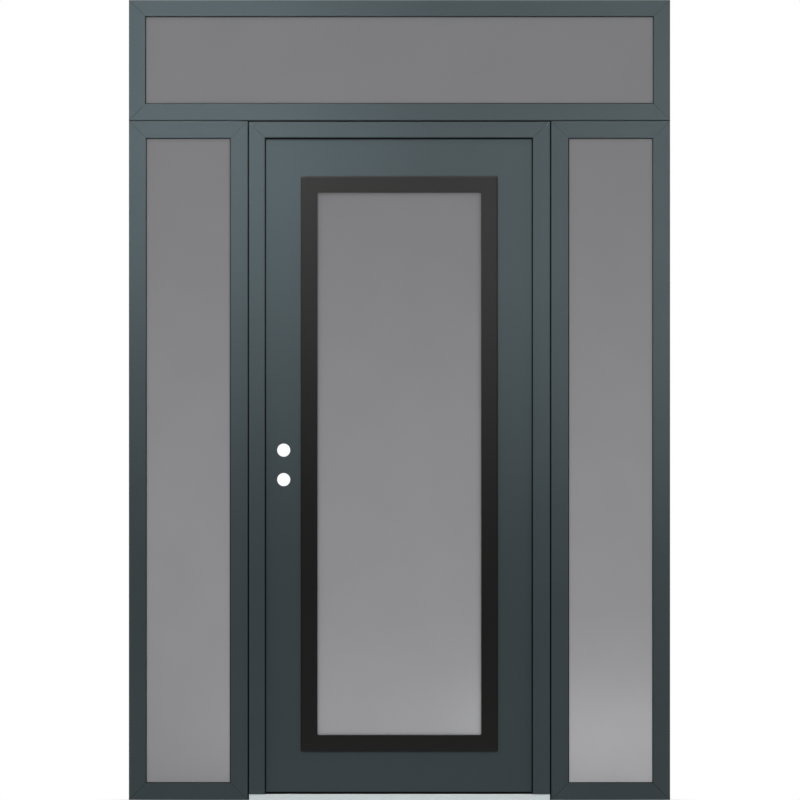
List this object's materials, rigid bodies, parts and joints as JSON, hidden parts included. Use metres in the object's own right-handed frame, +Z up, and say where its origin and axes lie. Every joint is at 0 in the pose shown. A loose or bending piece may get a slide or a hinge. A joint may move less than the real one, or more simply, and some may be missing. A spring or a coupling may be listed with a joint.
{
  "type": "entrance door with sidelights and transom",
  "caption": "Grey inswing entrance door with a tall frosted light in a black frame, set between fixed frosted sidelights under a full-width transom light, on a metal threshold.",
  "frame": {"origin": "on the floor at the bottom of the threshold, middle of the door unit's width and of the frame's depth", "axes": "+Z up, +Y into the building, +X to the right seen from outside"},
  "size_m": [1.691, 0.104, 2.5],
  "materials": {
    "frame_paint": "satin anthracite",
    "leaf_paint": "satin anthracite",
    "black_coating": "satin black",
    "frosted_glass": "frosted",
    "black_rubber": "matt",
    "sill_aluminium": "brushed",
    "hinge_steel": "satin",
    "core_composite": "matt"
  },
  "bodies": {
    "frame": {"transom_top_rail": "frame_paint", "transom_right_stile": "frame_paint", "transom_bottom_rail": "frame_paint", "transom_left_stile": "frame_paint", "transom_glass": "frosted_glass", "transom_gaskets": "black_rubber", "transom_beads": "frame_paint", "left_sidelight_top_rail": "frame_paint", "left_sidelight_inner_stile": "frame_paint", "left_sidelight_bottom_rail": "frame_paint", "left_sidelight_outer_stile": "frame_paint", "left_sidelight_glass": "frosted_glass", "left_sidelight_gaskets": "black_rubber", "left_sidelight_beads": "frame_paint", "right_sidelight_top_rail": "frame_paint", "right_sidelight_inner_stile": "frame_paint", "right_sidelight_bottom_rail": "frame_paint", "right_sidelight_outer_stile": "frame_paint", "right_sidelight_glass": "frosted_glass", "right_sidelight_gaskets": "black_rubber", "right_sidelight_beads": "frame_paint", "joint_strip_left": "black_rubber", "joint_strip_right": "black_rubber", "joint_strip_head": "black_rubber", "door_head_jamb": "frame_paint", "door_strike_jamb": "frame_paint", "door_hinge_jamb": "frame_paint", "threshold": "sill_aluminium", "weatherstrip": "black_rubber", "hinge_frame_leaves": "hinge_steel", "hinge_pins": "hinge_steel"},
    "door": {"door_outer_skin": "leaf_paint", "door_inner_skin": "leaf_paint", "door_lock_stile_lower": "core_composite", "door_lock_stile_upper": "core_composite", "door_lock_block": "core_composite", "door_hinge_stile": "core_composite", "door_top_rail": "core_composite", "door_bottom_rail": "core_composite", "door_light_frame_outer": "black_coating", "door_light_frame_inner": "black_coating", "door_glass": "frosted_glass", "door_gaskets": "black_rubber", "hinge_door_leaves": "hinge_steel", "door_sweep": "black_rubber"}
  },
  "joints": [
    {"name": "door_swing", "type": "hinge", "parent": "frame", "child": "door", "pos_m": [0.4305, 0.0525, 0], "axis": [0, 0, -1], "range_deg": [0, 110]}
  ]
}
